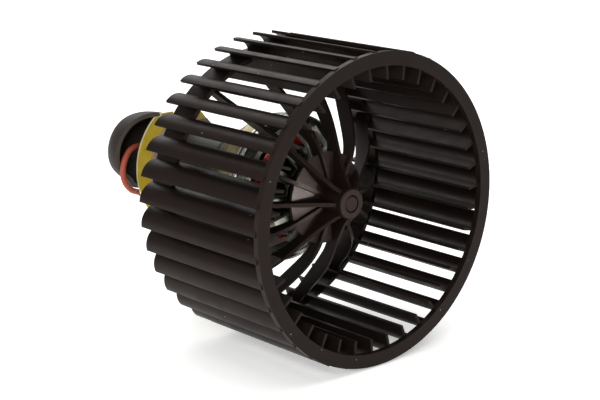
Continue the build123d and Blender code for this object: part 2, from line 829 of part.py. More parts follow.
with BuildPart() as cooling_hood:
    for share, scale in hood_steps:
        with BuildSketch(across(-hood_depth * share)):
            add(hood_section(scale, 0, hood_corner))
    loft()
    for share, scale in hood_steps:
        with BuildSketch(across(-(hood_depth - hood_wall) * share)):
            add(hood_section(scale, hood_wall, hood_inner_corner))
    loft(mode=Mode.SUBTRACT)
    with BuildSketch(across(-hood_wall)):
        with Locations(*hood_screw_spots):
            Circle(hood_ear_r)
        with Locations(((hood_right + hood_ear_upper_y) / 2, hood_ear_upper_z)):
            Rectangle(hood_ear_upper_y - hood_right, 2 * hood_ear_r)
        with Locations((hood_ear_lower_y, (hood_ear_lower_z + hood_bottom + hood_wall / 2) / 2)):
            Rectangle(2 * hood_ear_r, hood_bottom + hood_wall / 2 - hood_ear_lower_z)
    extrude(amount=hood_wall)
    with BuildSketch(across(-hood_wall)):
        with Locations(*hood_screw_spots):
            Circle(screw_r)
    extrude(amount=hood_wall, mode=Mode.SUBTRACT)
finish(cooling_hood, "cooling_hood")

with BuildPart() as hood_screws:
    for y, z in hood_screw_spots:
        add(screw(-hood_wall - screw_head, -hood_wall, plate_thickness, y, z))
finish(hood_screws, "hood_screws")

# Lead that loops out of the hood and back behind the plate
lead_route = (
    (partition_rear, -13.0, 7.0), (6.0, -13.0, 7.0), (-3.5, -15.5, 8.2), (-7.0, -24.5, 10.5),
    (-4.6, -32.5, 12.4), (-1.2, -39.5, 11.8), (1.6, -44.8, 7.6), (2.6, -47.0, 1.2),
    (2.0, -44.8, -5.0), (0.6, -40.2, -9.2), (-1.9, -36.0, -10.9), (-2.4, -32.4, -12.3),
)
route_points = [Vector(*point) for point in lead_route]
lead_radii = []
for before, corner, after in zip(route_points, route_points[1:], route_points[2:]):
    turn = (corner - before).get_angle(after - corner)
    shorter = min((corner - before).length, (after - corner).length)
    lead_radii.append(0.45 * shorter / tan(radians(turn) / 2))
print("lead radii", [round(radius, 1) for radius in lead_radii])
with BuildPart() as lead:
    with BuildLine():
        lead_path = FilletPolyline(*lead_route, radius=lead_radii)
    with BuildSketch(Plane(origin=lead_path @ 0, z_dir=lead_path % 0)):
        Circle(lead_r)
    sweep(path=lead_path)
print("lead length", round(lead_path.wire().length, 1))
print("lead volume", round(lead.part.volume, 1), round(lead_path.wire().length * pi * lead_r**2, 1))
finish(lead, "lead")

# Crimped ring terminal on the lead's lower end, riveted to the plate's back
barrel_start = route_points[-1]
ring_middle = Vector(barrel_start.X, terminal_y, terminal_z)
barrel_r = lead_r + terminal_wall / 2
with BuildPart() as lead_terminal:
    with BuildSketch(across(-terminal_wall)):
        with Locations((terminal_y, terminal_z)):
            Circle(terminal_ring_r)
            Circle(rivet_r, mode=Mode.SUBTRACT)
    extrude(amount=terminal_wall)
    with BuildSketch(Plane(origin=lead_path @ 1, z_dir=lead_path % 1)):
        Circle(barrel_r)
    extrude(amount=(ring_middle - barrel_start).length - terminal_ring_r + terminal_wall)
    with BuildSketch(across(0)):
        with Locations((terminal_y, terminal_z)):
            Circle(plate_r)
    extrude(amount=barrel_r, mode=Mode.SUBTRACT)
finish(lead_terminal, "lead_terminal")

with BuildPart() as terminal_rivet:
    add(rod(-terminal_wall - rivet_head, -terminal_wall, rivet_head_r, terminal_y, terminal_z))
    add(rod(plate_thickness, plate_thickness + rivet_head, rivet_head_r, terminal_y, terminal_z))
    add(rod(-terminal_wall, plate_thickness, rivet_r, terminal_y, terminal_z))
finish(terminal_rivet, "terminal_rivet")
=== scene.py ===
import bpy
import math
from mathutils import Matrix, Vector


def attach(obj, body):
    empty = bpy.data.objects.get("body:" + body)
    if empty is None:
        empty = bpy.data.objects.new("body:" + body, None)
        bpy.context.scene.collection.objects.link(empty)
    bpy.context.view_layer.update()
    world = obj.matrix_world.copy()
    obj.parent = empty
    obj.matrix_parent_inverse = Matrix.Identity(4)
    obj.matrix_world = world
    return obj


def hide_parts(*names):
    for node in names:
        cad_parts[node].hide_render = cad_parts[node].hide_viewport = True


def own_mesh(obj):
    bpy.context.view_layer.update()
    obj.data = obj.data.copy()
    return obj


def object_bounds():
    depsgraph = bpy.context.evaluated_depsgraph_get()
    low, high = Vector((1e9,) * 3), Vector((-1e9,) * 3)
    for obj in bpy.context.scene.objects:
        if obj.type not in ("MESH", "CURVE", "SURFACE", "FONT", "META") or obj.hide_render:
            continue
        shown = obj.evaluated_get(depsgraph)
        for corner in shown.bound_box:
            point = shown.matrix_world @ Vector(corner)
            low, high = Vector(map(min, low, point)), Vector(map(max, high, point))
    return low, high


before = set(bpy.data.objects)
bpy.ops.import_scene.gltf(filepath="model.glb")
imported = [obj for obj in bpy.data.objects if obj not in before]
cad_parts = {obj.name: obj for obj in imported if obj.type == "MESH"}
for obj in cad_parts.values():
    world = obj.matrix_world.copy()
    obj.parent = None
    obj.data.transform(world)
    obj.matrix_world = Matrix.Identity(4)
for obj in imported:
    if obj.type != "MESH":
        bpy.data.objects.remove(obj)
cadLow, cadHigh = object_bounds()
scene = bpy.context.scene
mm = 0.001
bpy.ops.object.select_all(action="DESELECT")
print("frame loaded", len(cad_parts), "nodes")


# Camera

photoCamera = {
    "frameWidth": 600,         # pixels of the photograph
    "focalPixels": 1535.6,
    "sensorWidth": 36.0,
    "azimuth": 48.29,          # degrees, seen from the wheel's open side
    "elevation": 14.23,
    "place": (632.0, -486.6, 180.5),   # mm
    "clip": (0.01, 50.0),      # metres, nearest and farthest
}


def addCamera(setup):
    turn, rise = math.radians(setup["azimuth"]), math.radians(setup["elevation"])
    back = Vector((
        math.sin(turn) * math.cos(rise), -math.cos(turn) * math.cos(rise), math.sin(rise)
    ))
    data = bpy.data.cameras.new("photoCamera")
    data.sensor_width = setup["sensorWidth"]
    data.lens = setup["focalPixels"] * setup["sensorWidth"] / setup["frameWidth"]
    data.clip_start, data.clip_end = setup["clip"]
    camera = bpy.data.objects.new("photoCamera", data)
    scene.collection.objects.link(camera)
    camera.location = Vector(setup["place"]) * mm
    camera.rotation_euler = (-back).to_track_quat("-Z", "Y").to_euler()
    scene.camera = camera


addCamera(photoCamera)
print("camera placed")


# Colours and nodes

def toLinear(hexColour):    # "#rrggbb" in sRGB to the renderer's linear values, opaque
    parts = [int(hexColour[i:i + 2], 16) / 255 for i in (1, 3, 5)]
    return [v / 12.92 if v <= 0.04045 else ((v + 0.055) / 1.055) ** 2.4 for v in parts] + [1.0]


# texture scale that gives features of this size in mm, where a wave's bands lie about
# a third of the size apart
def perMillimetre(size):
    return 1000.0 / size


def addNode(material, kind, settings=None, links=None):
    node = material.node_tree.nodes.new(kind)
    for name, value in (settings or {}).items():
        if isinstance(name, int) or name in node.inputs:
            node.inputs[name].default_value = value
        else:
            setattr(node, name, value)
    for name, source in (links or {}).items():
        material.node_tree.links.new(source, node.inputs[name])
    return node


def newFinish(name, **shaderValues):
    material = bpy.data.materials.new(name)
    material.use_nodes = True
    shader = material.node_tree.nodes["Principled BSDF"]
    for socket, value in shaderValues.items():
        shader.inputs[socket.replace("_", " ")].default_value = value
    place = addNode(material, "ShaderNodeTexCoord").outputs["Object"]
    return material, shader, place


def join(material, source, shader, socket):
    material.node_tree.links.new(source, shader.inputs[socket])


# Finishes

wheelCone = {
    "radius": 22.7,    # mm, just past the cone's free edge
    "front": 109.2,    # mm along the shaft, just ahead of where the cone meets the hub
    "facing": 0.9,     # how far a face has to look along the shaft, 1 is straight ahead
}


def mouldedPolyamide():
    # glass-filled polyamide, injection moulded: satin brown-black with faint flow
    # marks, fine spark-eroded grain, softened edges and a few specks of lint
    material, shader, place = newFinish(
        "mouldedPolyamide", IOR=1.5, Specular_IOR_Level=0.12, Specular_Tint=toLinear("#ffeae2"))
    flow = addNode(material, "ShaderNodeTexNoise",
                   {"Scale": perMillimetre(22), "Detail": 4.0, "Distortion": 0.6},
                   {"Vector": place})
    tone = addNode(material, "ShaderNodeMix",
                   {"data_type": "RGBA", 6: toLinear("#150f0d"), 7: toLinear("#1e1613")},
                   {0: flow.outputs["Fac"]})
    lint = addNode(material, "ShaderNodeTexVoronoi",
                   {"Scale": perMillimetre(8)}, {"Vector": place})
    speck = addNode(material, "ShaderNodeMath",
                    {"operation": "LESS_THAN", 1: 0.03}, {0: lint.outputs["Distance"]})
    pick = addNode(material, "ShaderNodeSeparateColor", {}, {"Color": lint.outputs["Color"]})
    chosen = addNode(material, "ShaderNodeMath",
                     {"operation": "GREATER_THAN", 1: 0.35}, {0: pick.outputs["Red"]})
    dust = addNode(material, "ShaderNodeMath", {"operation": "MULTIPLY"},
                   {0: speck.outputs[0], 1: chosen.outputs[0]})
    colour = addNode(material, "ShaderNodeMix",
                     {"data_type": "RGBA", 7: toLinear("#b5aea6")},
                     {0: dust.outputs[0], 6: tone.outputs[2]})
    # the closed cone's front faces between the ribs are painted paler and pinker: a painted
    # highlight standing in for the glint off the cone
    spot = addNode(material, "ShaderNodeSeparateXYZ", {}, {"Vector": place})
    across = addNode(material, "ShaderNodeCombineXYZ", {},
                     {"Y": spot.outputs["Y"], "Z": spot.outputs["Z"]})
    radius = addNode(material, "ShaderNodeVectorMath", {"operation": "LENGTH"},
                     {0: across.outputs[0]})
    inCone = addNode(material, "ShaderNodeMath",
                     {"operation": "LESS_THAN", 1: wheelCone["radius"] * mm},
                     {0: radius.outputs["Value"]})
    behindHub = addNode(material, "ShaderNodeMath",
                        {"operation": "LESS_THAN", 1: wheelCone["front"] * mm},
                        {0: spot.outputs["X"]})
    ahead = addNode(material, "ShaderNodeSeparateXYZ", {}, {
        "Vector": addNode(material, "ShaderNodeTexCoord").outputs["Normal"]})
    frontSide = addNode(material, "ShaderNodeMath",
                        {"operation": "GREATER_THAN", 1: wheelCone["facing"]},
                        {0: ahead.outputs["X"]})
    onCone = addNode(material, "ShaderNodeMath", {"operation": "MULTIPLY"},
                     {0: inCone.outputs[0], 1: behindHub.outputs[0]})
    coneFront = addNode(material, "ShaderNodeMath", {"operation": "MULTIPLY"},
                        {0: onCone.outputs[0], 1: frontSide.outputs[0]})
    sheenStretch = addNode(material, "ShaderNodeMapping", {"Scale": (1.0, 0.3, 1.0)},
                      {"Vector": place})
    coneMottle = addNode(material, "ShaderNodeTexNoise",
                    {"Scale": perMillimetre(1.6), "Detail": 5.0}, {"Vector": sheenStretch.outputs[0]})
    # painted highlight: the paler colour laid on the cone's front faces
    filmAndSheen = addNode(material, "ShaderNodeMix",
                   {"data_type": "RGBA", 6: toLinear("#1b1614"), 7: toLinear("#2a2220")},
                   {0: coneMottle.outputs["Fac"]})
    whole = addNode(material, "ShaderNodeMix", {"data_type": "RGBA"},
                    {0: coneFront.outputs[0], 6: colour.outputs[2], 7: filmAndSheen.outputs[2]})
    join(material, whole.outputs[2], shader, "Base Color")
    patch = addNode(material, "ShaderNodeTexNoise",
                    {"Scale": perMillimetre(9), "Detail": 3.0}, {"Vector": place})
    rough = addNode(material, "ShaderNodeMapRange",
                    {"From Min": 0.3, "From Max": 0.7, "To Min": 0.36, "To Max": 0.48},
                    {"Value": patch.outputs["Fac"]})
    coneGloss = addNode(material, "ShaderNodeMapRange", {"To Min": 0.26, "To Max": 0.38},
                        {"Value": coneMottle.outputs["Fac"]})
    gloss = addNode(material, "ShaderNodeMix", {"data_type": "FLOAT"},
                    {0: coneFront.outputs[0], 2: rough.outputs[0], 3: coneGloss.outputs[0]})
    join(material, gloss.outputs[0], shader, "Roughness")
    grain = addNode(material, "ShaderNodeTexNoise",
                    {"Scale": perMillimetre(0.5), "Detail": 2.0}, {"Vector": place})
    edge = addNode(material, "ShaderNodeBevel", {"samples": 4, "Radius": 0.3 * mm})
    relief = addNode(material, "ShaderNodeBump", {"Strength": 0.12, "Distance": 0.05 * mm},
                     {"Height": grain.outputs["Fac"], "Normal": edge.outputs[0]})
    join(material, relief.outputs[0], shader, "Normal")
    return material


shaftEnd = {"blackFrom": 121.8}    # mm along the shaft


def groundSteel():
    # bright bar ground on centres: rings round the shaft that stretch the highlight, drawn
    # coarser than real ones so that they show, and a blackened end face, dark as the hub
    material, shader, place = newFinish("groundSteel", Metallic=1.0)
    rings = addNode(material, "ShaderNodeTexWave",
                    {"Scale": perMillimetre(4), "Distortion": 1.5, "Detail": 3.0,
                     "bands_direction": "X"}, {"Vector": place})
    tone = addNode(material, "ShaderNodeMix",
                   {"data_type": "RGBA", 6: toLinear("#6d6865"), 7: toLinear("#8c8783")},
                   {0: rings.outputs["Fac"]})
    along = addNode(material, "ShaderNodeSeparateXYZ", {}, {"Vector": place})
    endFace = addNode(material, "ShaderNodeMath",
                      {"operation": "GREATER_THAN", 1: shaftEnd["blackFrom"] * mm},
                      {0: along.outputs["X"]})
    colour = addNode(material, "ShaderNodeMix", {"data_type": "RGBA", 7: toLinear("#2c2422")},
                     {0: endFace.outputs[0], 6: tone.outputs[2]})
    join(material, colour.outputs[2], shader, "Base Color")
    rough = addNode(material, "ShaderNodeMapRange", {"To Min": 0.28, "To Max": 0.42},
                    {"Value": rings.outputs["Fac"]})
    join(material, rough.outputs[0], shader, "Roughness")
    relief = addNode(material, "ShaderNodeBump", {"Strength": 0.15, "Distance": 0.02 * mm},
                     {"Height": rings.outputs["Fac"]})
    join(material, relief.outputs[0], shader, "Normal")
    return material


def stampedLaminations():
    # stacked silicon steel sheet: dull grey with dark lines between the sheets, drawn
    # 2.2 mm apart because the real half millimetre wouldn't show
    material, shader, place = newFinish("stampedLaminations", Metallic=1.0)
    sheets = addNode(material, "ShaderNodeTexWave",
                     {"Scale": perMillimetre(7), "bands_direction": "X"}, {"Vector": place})
    spots = addNode(material, "ShaderNodeTexNoise",
                    {"Scale": perMillimetre(3), "Detail": 4.0}, {"Vector": place})
    tone = addNode(material, "ShaderNodeMix",
                   {"data_type": "RGBA", 6: toLinear("#3d3b39"), 7: toLinear("#6f6b67")},
                   {0: sheets.outputs["Fac"]})
    join(material, tone.outputs[2], shader, "Base Color")
    rough = addNode(material, "ShaderNodeMapRange", {"To Min": 0.42, "To Max": 0.7},
                    {"Value": spots.outputs["Fac"]})
    join(material, rough.outputs[0], shader, "Roughness")
    relief = addNode(material, "ShaderNodeBump", {"Strength": 0.3, "Distance": 0.05 * mm},
                     {"Height": sheets.outputs["Fac"]})
    join(material, relief.outputs[0], shader, "Normal")
    return material


windingPaintedShade = {"start": 84.2, "full": 85.2}    # mm along the shaft, towards the cap


def enamelledCopper():
    # round wire under red varnish: deep red with orange-red glints along each turn, and painted
    # shade: the front face behind the cap's slots is painted blue-black
    material, shader, place = newFinish(
        "enamelledCopper", Metallic=0.35, IOR=1.55, Coat_Weight=0.8, Coat_Roughness=0.12)
    varnish = addNode(material, "ShaderNodeTexNoise",
                      {"Scale": perMillimetre(2.5), "Detail": 3.0}, {"Vector": place})
    tone = addNode(material, "ShaderNodeMix",
                   {"data_type": "RGBA", 6: toLinear("#8c0f07"), 7: toLinear("#e02c18")},
                   {0: varnish.outputs["Fac"]})
    along = addNode(material, "ShaderNodeSeparateXYZ", {}, {"Vector": place})
    # painted shade: the winding's front face, which lies in shade behind the cap, is painted
    # blue-black
    paintedShadeFront = addNode(material, "ShaderNodeMapRange",
                    {"From Min": windingPaintedShade["start"] * mm,
                     "From Max": windingPaintedShade["full"] * mm},
                    {"Value": along.outputs["X"]})
    colour = addNode(material, "ShaderNodeMix", {"data_type": "RGBA", 7: toLinear("#12131c")},
                     {0: paintedShadeFront.outputs[0], 6: tone.outputs[2]})
    join(material, colour.outputs[2], shader, "Base Color")
    rough = addNode(material, "ShaderNodeMapRange", {"To Min": 0.2, "To Max": 0.4},
                    {"Value": varnish.outputs["Fac"]})
    join(material, rough.outputs[0], shader, "Roughness")
    relief = addNode(material, "ShaderNodeBump", {"Strength": 0.2, "Distance": 0.1 * mm},
                     {"Height": varnish.outputs["Fac"]})
    join(material, relief.outputs[0], shader, "Normal")
    return material


def pressedFibre():
    # vulcanised fibre punched from sheet: warm brown, faint fibres, no gloss
    material, shader, place = newFinish("pressedFibre", IOR=1.5)
    stretch = addNode(material, "ShaderNodeMapping", {"Scale": (1.0, 0.25, 1.0)},
                      {"Vector": place})
    fibres = addNode(material, "ShaderNodeTexNoise",
                     {"Scale": perMillimetre(0.8), "Detail": 5.0}, {"Vector": stretch.outputs[0]})
    tone = addNode(material, "ShaderNodeMix",
                   {"data_type": "RGBA", 6: toLinear("#5a3a26"), 7: toLinear("#7d5a3e")},
                   {0: fibres.outputs["Fac"]})
    join(material, tone.outputs[2], shader, "Base Color")
    rough = addNode(material, "ShaderNodeMapRange", {"To Min": 0.6, "To Max": 0.85},
                    {"Value": fibres.outputs["Fac"]})
    join(material, rough.outputs[0], shader, "Roughness")
    relief = addNode(material, "ShaderNodeBump", {"Strength": 0.2, "Distance": 0.05 * mm},
                     {"Height": fibres.outputs["Fac"]})
    join(material, relief.outputs[0], shader, "Normal")
    return material


def phenolicMoulding():
    # mineral-filled phenolic, compression moulded: near black, fine pale specks of filler
    material, shader, place = newFinish("phenolicMoulding", IOR=1.6, Specular_IOR_Level=0.25)
    filler = addNode(material, "ShaderNodeTexNoise",
                     {"Scale": perMillimetre(0.6), "Detail": 4.0}, {"Vector": place})
    share = addNode(material, "ShaderNodeMapRange", {"From Min": 0.55, "From Max": 0.75},
                    {"Value": filler.outputs["Fac"]})
    tone = addNode(material, "ShaderNodeMix",
                   {"data_type": "RGBA", 6: toLinear("#161312"), 7: toLinear("#2b2624")},
                   {0: share.outputs[0]})
    join(material, tone.outputs[2], shader, "Base Color")
    rough = addNode(material, "ShaderNodeMapRange", {"To Min": 0.3, "To Max": 0.5},
                    {"Value": filler.outputs["Fac"]})
    join(material, rough.outputs[0], shader, "Roughness")
    return material


def turnedCopper():
    # commutator copper, turned and run in: salmon metal with dark brush tracks round it
    material, shader, place = newFinish("turnedCopper", Metallic=1.0)
    tracks = addNode(material, "ShaderNodeTexWave",
                     {"Scale": perMillimetre(5), "Distortion": 2.0, "Detail": 3.0,
                      "bands_direction": "X"}, {"Vector": place})
    tone = addNode(material, "ShaderNodeMix",
                   {"data_type": "RGBA", 6: toLinear("#8a4a30"), 7: toLinear("#d08a66")},
                   {0: tracks.outputs["Fac"]})
    join(material, tone.outputs[2], shader, "Base Color")
    rough = addNode(material, "ShaderNodeMapRange", {"To Min": 0.22, "To Max": 0.42},
                    {"Value": tracks.outputs["Fac"]})
    join(material, rough.outputs[0], shader, "Roughness")
    relief = addNode(material, "ShaderNodeBump", {"Strength": 0.15, "Distance": 0.02 * mm},
                     {"Height": tracks.outputs["Fac"]})
    join(material, relief.outputs[0], shader, "Normal")
    return material


plateEdgeHighlight = {"facing": 0.5}    # an edge looks less than this along the shaft


def yellowPassivatedZinc():
    # zinc plate in yellow chromate: mustard face with soft cloudy patches, and its edges painted
    # pale cream as a painted highlight
    material, shader, place = newFinish("yellowPassivatedZinc", Metallic=0.25)
    clouds = addNode(material, "ShaderNodeTexNoise",
                     {"Scale": perMillimetre(14), "Detail": 3.0, "Distortion": 0.8},
                     {"Vector": place})
    share = addNode(material, "ShaderNodeMapRange", {"From Min": 0.35, "From Max": 0.65},
                    {"Value": clouds.outputs["Fac"]})
    face = addNode(material, "ShaderNodeMix",
                   {"data_type": "RGBA", 6: toLinear("#b99c22"), 7: toLinear("#ccb23c")},
                   {0: share.outputs[0]})
    facing = addNode(material, "ShaderNodeSeparateXYZ", {}, {
        "Vector": addNode(material, "ShaderNodeTexCoord").outputs["Normal"]})
    alongShaft = addNode(material, "ShaderNodeMath", {"operation": "ABSOLUTE"},
                         {0: facing.outputs["X"]})
    # painted highlight: faces that look across the shaft, the plate's edges, are painted pale
    # cream
    paintedEdgeHighlight = addNode(material, "ShaderNodeMath",
                      {"operation": "LESS_THAN", 1: plateEdgeHighlight["facing"]},
                      {0: alongShaft.outputs[0]})
    colour = addNode(material, "ShaderNodeMix",
                     {"data_type": "RGBA", 7: toLinear("#e6e0b8")},
                     {0: paintedEdgeHighlight.outputs[0], 6: face.outputs[2]})
    join(material, colour.outputs[2], shader, "Base Color")
    rough = addNode(material, "ShaderNodeMapRange", {"To Min": 0.38, "To Max": 0.55},
                    {"Value": clouds.outputs["Fac"]})
    join(material, rough.outputs[0], shader, "Roughness")
    rolled = addNode(material, "ShaderNodeTexNoise",
                     {"Scale": perMillimetre(0.9), "Detail": 2.0}, {"Vector": place})
    relief = addNode(material, "ShaderNodeBump", {"Strength": 0.1, "Distance": 0.03 * mm},
                     {"Height": rolled.outputs["Fac"]})
    join(material, relief.outputs[0], shader, "Normal")
    return material


def closedCellFoam():
    # tan foam rubber gasket: matt and pitted with small cells
    material, shader, place = newFinish("closedCellFoam", IOR=1.45)
    cells = addNode(material, "ShaderNodeTexVoronoi", {"Scale": perMillimetre(0.9)},
                    {"Vector": place})
    stain = addNode(material, "ShaderNodeTexNoise", {"Scale": perMillimetre(7), "Detail": 3.0},
                    {"Vector": place})
    tone = addNode(material, "ShaderNodeMix",
                   {"data_type": "RGBA", 6: toLinear("#6f5f50"), 7: toLinear("#94816c")},
                   {0: stain.outputs["Fac"]})
    join(material, tone.outputs[2], shader, "Base Color")
    rough = addNode(material, "ShaderNodeMapRange", {"To Min": 0.75, "To Max": 0.95},
                    {"Value": cells.outputs["Distance"]})
    join(material, rough.outputs[0], shader, "Roughness")
    relief = addNode(material, "ShaderNodeBump", {"Strength": 0.5, "Distance": 0.2 * mm},
                     {"Height": cells.outputs["Distance"]})
    join(material, relief.outputs[0], shader, "Normal")
    return material


def brightZincPlate():
    # clear zinc on machine screws: cool silver with slightly dull blotches
    material, shader, place = newFinish("brightZincPlate", Metallic=1.0)
    blotch = addNode(material, "ShaderNodeTexNoise", {"Scale": perMillimetre(1.6), "Detail": 3.0},
                     {"Vector": place})
    tone = addNode(material, "ShaderNodeMix",
                   {"data_type": "RGBA", 6: toLinear("#9b9d9c"), 7: toLinear("#c3c4c0")},
                   {0: blotch.outputs["Fac"]})
    join(material, tone.outputs[2], shader, "Base Color")
    rough = addNode(material, "ShaderNodeMapRange", {"To Min": 0.25, "To Max": 0.45},
                    {"Value": blotch.outputs["Fac"]})
    join(material, rough.outputs[0], shader, "Roughness")
    return material


hoodInside = {"start": 0.15, "full": 0.45}    # how far its faces look along the shaft


def grainedMoulding():
    # talc-filled polypropylene, moulded with a fine grain: warm dark grey, low sheen, and the
    # inner side painted paler as painted light, where the hood's inside lies in its own shade
    material, shader, place = newFinish("grainedMoulding", IOR=1.49, Specular_IOR_Level=0.3)
    bloom = addNode(material, "ShaderNodeTexNoise",
                    {"Scale": perMillimetre(12), "Detail": 4.0, "Distortion": 0.5},
                    {"Vector": place})
    tone = addNode(material, "ShaderNodeMix",
                   {"data_type": "RGBA", 6: toLinear("#221c18"), 7: toLinear("#2d2621")},
                   {0: bloom.outputs["Fac"]})
    facing = addNode(material, "ShaderNodeSeparateXYZ", {}, {
        "Vector": addNode(material, "ShaderNodeTexCoord").outputs["Normal"]})
    # painted light: faces on the hood's inner side that look along the shaft are painted paler to
    # lift their shade
    paintedInnerFill = addNode(material, "ShaderNodeMapRange",
                    {"From Min": hoodInside["start"], "From Max": hoodInside["full"]},
                    {"Value": facing.outputs["X"]})
    colour = addNode(material, "ShaderNodeMix", {"data_type": "RGBA", 7: toLinear("#4b433d")},
                     {0: paintedInnerFill.outputs[0], 6: tone.outputs[2]})
    join(material, colour.outputs[2], shader, "Base Color")
    rough = addNode(material, "ShaderNodeMapRange", {"To Min": 0.48, "To Max": 0.66},
                    {"Value": bloom.outputs["Fac"]})
    join(material, rough.outputs[0], shader, "Roughness")
    grain = addNode(material, "ShaderNodeTexVoronoi", {"Scale": perMillimetre(0.55)},
                    {"Vector": place})
    edge = addNode(material, "ShaderNodeBevel", {"samples": 4, "Radius": 0.4 * mm})
    relief = addNode(material, "ShaderNodeBump", {"Strength": 0.15, "Distance": 0.06 * mm},
                     {"Height": grain.outputs["Distance"], "Normal": edge.outputs[0]})
    join(material, relief.outputs[0], shader, "Normal")
    return material


def redInsulation():
    # extruded silicone-rubber insulation: brick red, satin, faintly streaked
    material, shader, place = newFinish(
        "redInsulation", IOR=1.43, Subsurface_Weight=0.1,
        Subsurface_Radius=(0.001, 0.0004, 0.0003))
    streak = addNode(material, "ShaderNodeTexNoise", {"Scale": perMillimetre(3), "Detail": 4.0},
                     {"Vector": place})
    tone = addNode(material, "ShaderNodeMix",
                   {"data_type": "RGBA", 6: toLinear("#8a3a28"), 7: toLinear("#a84f38")},
                   {0: streak.outputs["Fac"]})
    join(material, tone.outputs[2], shader, "Base Color")
    rough = addNode(material, "ShaderNodeMapRange", {"To Min": 0.42, "To Max": 0.6},
                    {"Value": streak.outputs["Fac"]})
    join(material, rough.outputs[0], shader, "Roughness")
    relief = addNode(material, "ShaderNodeBump", {"Strength": 0.15, "Distance": 0.06 * mm},
                     {"Height": streak.outputs["Fac"]})
    join(material, relief.outputs[0], shader, "Normal")
    return material


def tinnedBrass():
    # brass strip with a bright tin flash: pale metal, yellow where the tin is thin
    material, shader, place = newFinish("tinnedBrass", Metallic=1.0)
    thin = addNode(material, "ShaderNodeTexNoise", {"Scale": perMillimetre(2), "Detail": 3.0},
                   {"Vector": place})
    tone = addNode(material, "ShaderNodeMix",
                   {"data_type": "RGBA", 6: toLinear("#b7ad90"), 7: toLinear("#c9c5b8")},
                   {0: thin.outputs["Fac"]})
    join(material, tone.outputs[2], shader, "Base Color")
    rough = addNode(material, "ShaderNodeMapRange", {"To Min": 0.2, "To Max": 0.36},
                    {"Value": thin.outputs["Fac"]})
    join(material, rough.outputs[0], shader, "Roughness")
    return material


def sinteredBronze():
    # oil-filled sintered bearing: brown bronze full of dark pores
    material, shader, place = newFinish("sinteredBronze", Metallic=1.0)
    pores = addNode(material, "ShaderNodeTexVoronoi", {"Scale": perMillimetre(0.5)},
                    {"Vector": place})
    share = addNode(material, "ShaderNodeMapRange", {"From Min": 0.1, "From Max": 0.45},
                    {"Value": pores.outputs["Distance"]})
    tone = addNode(material, "ShaderNodeMix",
                   {"data_type": "RGBA", 6: toLinear("#4f3418"), 7: toLinear("#98703d")},
                   {0: share.outputs[0]})
    join(material, tone.outputs[2], shader, "Base Color")
    rough = addNode(material, "ShaderNodeMapRange", {"To Min": 0.6, "To Max": 0.4},
                    {"Value": share.outputs[0]})
    join(material, rough.outputs[0], shader, "Roughness")
    relief = addNode(material, "ShaderNodeBump", {"Strength": 0.4, "Distance": 0.05 * mm},
                     {"Height": share.outputs[0]})
    join(material, relief.outputs[0], shader, "Normal")
    return material


def brightPressedSteel():
    # bright cold-rolled strip, pressed: near-white reflections with faint draw marks
    material, shader, place = newFinish("brightPressedSteel", Metallic=1.0)
    stretch = addNode(material, "ShaderNodeMapping", {"Scale": (4.0, 1.0, 1.0)},
                      {"Vector": place})
    marks = addNode(material, "ShaderNodeTexNoise", {"Scale": perMillimetre(2.2), "Detail": 4.0},
                    {"Vector": stretch.outputs[0]})
    tone = addNode(material, "ShaderNodeMix",
                   {"data_type": "RGBA", 6: toLinear("#a9aaa4"), 7: toLinear("#d3d4cc")},
                   {0: marks.outputs["Fac"]})
    join(material, tone.outputs[2], shader, "Base Color")
    rough = addNode(material, "ShaderNodeMapRange", {"To Min": 0.14, "To Max": 0.32},
                    {"Value": marks.outputs["Fac"]})
    join(material, rough.outputs[0], shader, "Roughness")
    return material


def rolledBrass():
    # rolled brass strip of the brush tubes: warm yellow, slightly tarnished
    material, shader, place = newFinish("rolledBrass", Metallic=1.0)
    tarnish = addNode(material, "ShaderNodeTexNoise",
                      {"Scale": perMillimetre(2.5), "Detail": 4.0}, {"Vector": place})
    tone = addNode(material, "ShaderNodeMix",
                   {"data_type": "RGBA", 6: toLinear("#9c7a34"), 7: toLinear("#c9a95a")},
                   {0: tarnish.outputs["Fac"]})
    join(material, tone.outputs[2], shader, "Base Color")
    rough = addNode(material, "ShaderNodeMapRange", {"To Min": 0.24, "To Max": 0.44},
                    {"Value": tarnish.outputs["Fac"]})
    join(material, rough.outputs[0], shader, "Roughness")
    return material


def dulledZincCan():
    # drawn can in dulled yellow-green zinc: beige where lit, olive in shade, with
    # cloudy handling marks and fine draw lines along the shaft
    material, shader, place = newFinish("dulledZincCan", Metallic=0.95)
    clouds = addNode(material, "ShaderNodeTexNoise",
                     {"Scale": perMillimetre(9), "Detail": 5.0, "Distortion": 1.0},
                     {"Vector": place})
    share = addNode(material, "ShaderNodeMapRange", {"From Min": 0.3, "From Max": 0.7},
                    {"Value": clouds.outputs["Fac"]})
    tone = addNode(material, "ShaderNodeMix",
                   {"data_type": "RGBA", 6: toLinear("#7d7657"), 7: toLinear("#a59b75")},
                   {0: share.outputs[0]})
    join(material, tone.outputs[2], shader, "Base Color")
    rough = addNode(material, "ShaderNodeMapRange", {"To Min": 0.18, "To Max": 0.32},
                    {"Value": clouds.outputs["Fac"]})
    join(material, rough.outputs[0], shader, "Roughness")
    stretch = addNode(material, "ShaderNodeMapping", {"Scale": (0.1, 1.0, 1.0)},
                      {"Vector": place})
    lines = addNode(material, "ShaderNodeTexNoise", {"Scale": perMillimetre(0.7), "Detail": 3.0},
                    {"Vector": stretch.outputs[0]})
    relief = addNode(material, "ShaderNodeBump", {"Strength": 0.12, "Distance": 0.04 * mm},
                     {"Height": lines.outputs["Fac"]})
    join(material, relief.outputs[0], shader, "Normal")
    return material


